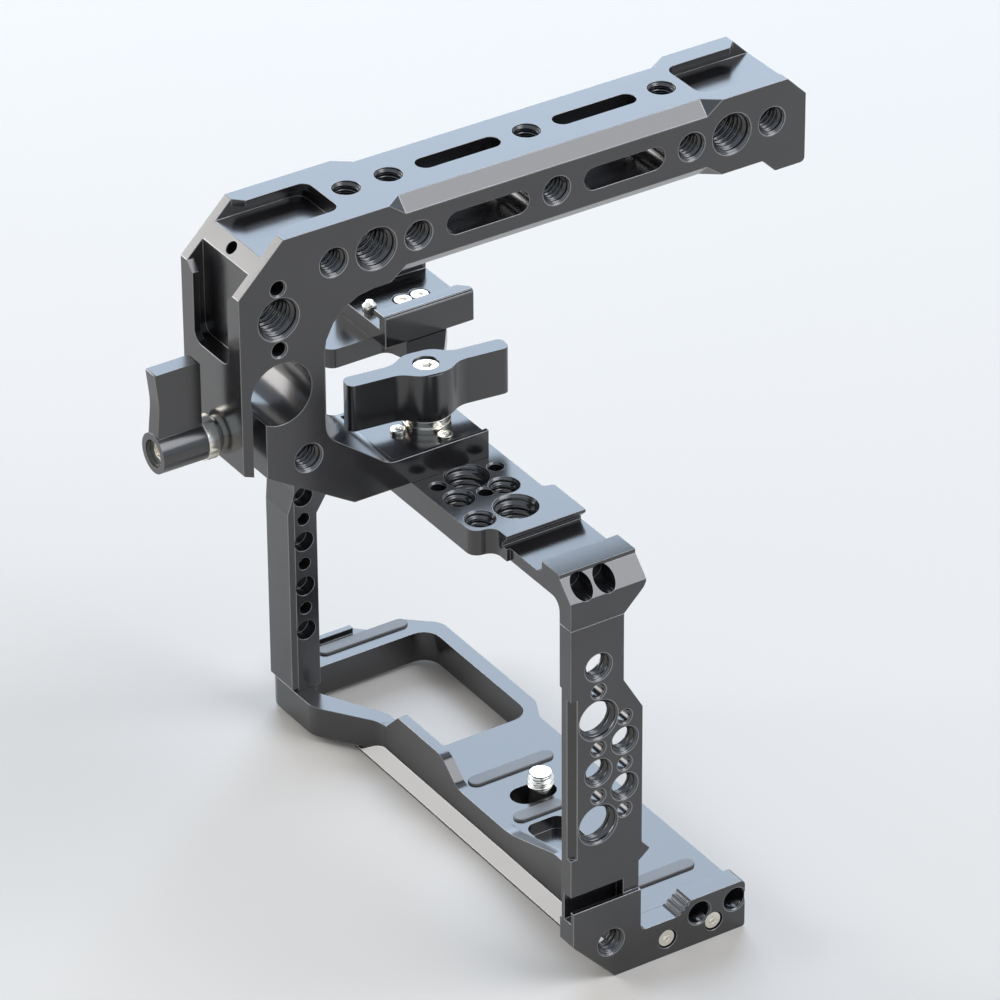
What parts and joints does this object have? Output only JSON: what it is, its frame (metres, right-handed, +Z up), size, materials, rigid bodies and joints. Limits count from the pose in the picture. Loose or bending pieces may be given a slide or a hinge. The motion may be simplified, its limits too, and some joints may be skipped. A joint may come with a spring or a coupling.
{
  "type": "camera cage",
  "caption": "Half-open metal camera cage with a drilled side plate, quick-release base, accessory shoes and a knob-clamped top handle with a rod clamp.",
  "frame": {"origin": "middle of the footprint on the ground", "axes": "+Z up; +Y along the lens axis from the front of the handle to the back of the camera; +X towards the drilled side plate"},
  "size_m": [0.1408, 0.1618, 0.1774],
  "materials": {
    "anodised": "black anodised, fine satin",
    "steel": "stainless, bright turned",
    "dark_screw": "blackened steel",
    "rubber": "matt moulded rubber"
  },
  "bodies": {
    "cage": {"base_plate": "anodised", "right_side_plate": "anodised", "left_post": "anodised", "top_frame": "anodised", "side_plate_screws": "steel", "lap_screws": "dark_screw", "left_post_top_screws": "dark_screw", "left_post_base_screws": "steel", "pad_left": "rubber", "pad_inner": "rubber", "pad_middle": "rubber", "pad_right": "rubber", "cold_shoe": "anodised", "cold_shoe_screws": "steel", "cold_shoe_stop_screw": "steel", "handle_body": "anodised", "handle_pins": "steel"},
    "screw_keeper": {"camera_screw_keeper": "steel"},
    "camera_screw": {"camera_screw": "steel"},
    "knob_washer": {"knob_washer": "steel"},
    "knob_core": {"knob_bolt": "steel", "knob_cap_screw": "steel", "knob_spring": "steel"},
    "knob_grip": {"knob_wing": "anodised"},
    "lever_washer": {"lever_washer": "steel"},
    "lever_core": {"lever_bolt": "steel", "lever_screw": "steel", "lever_spring": "steel"},
    "lever_grip": {"lever_arm": "anodised"}
  },
  "joints": [
    {"name": "screw_slide", "type": "slide", "parent": "cage", "child": "screw_keeper", "axis": [0, 1, 0], "range_m": [-0.0043, 0.0002]},
    {"name": "screw_spin", "type": "hinge", "parent": "screw_keeper", "child": "camera_screw", "pos_m": [0.0116, 0.0129, 0.005], "axis": [0, 0, 1], "continuous": true},
    {"name": "knob_rise", "type": "slide", "parent": "cage", "child": "knob_washer", "axis": [0, 0, 1], "range_m": [0, 0.00318]},
    {"name": "knob_turn", "type": "hinge", "parent": "knob_washer", "child": "knob_core", "pos_m": [0.0036, -0.0116, 0.1154], "axis": [0, 0, 1], "range_deg": [0, 720]},
    {"name": "knob_pull", "type": "slide", "parent": "knob_core", "child": "knob_grip", "axis": [0, 0, 1], "range_m": [0, 0.0025], "stiffness_N_per_m": 400, "springref_m": -0.004},
    {"name": "lever_back_off", "type": "slide", "parent": "cage", "child": "lever_washer", "axis": [0, -1, 0], "range_m": [0, 0.000601]},
    {"name": "lever_turn", "type": "hinge", "parent": "lever_washer", "child": "lever_core", "pos_m": [0.0036, -0.0697, 0.1275], "axis": [0, -1, 0], "range_deg": [0, 270]},
    {"name": "lever_pull", "type": "slide", "parent": "lever_core", "child": "lever_grip", "axis": [0, -1, 0], "range_m": [0, 0.0017], "stiffness_N_per_m": 300, "springref_m": -0.004}
  ],
  "couplings": [
    {"joint": "knob_rise", "follows": "knob_turn", "m_per_rad": 0.00025266},
    {"joint": "lever_back_off", "follows": "lever_turn", "m_per_rad": 0.00012732}
  ]
}
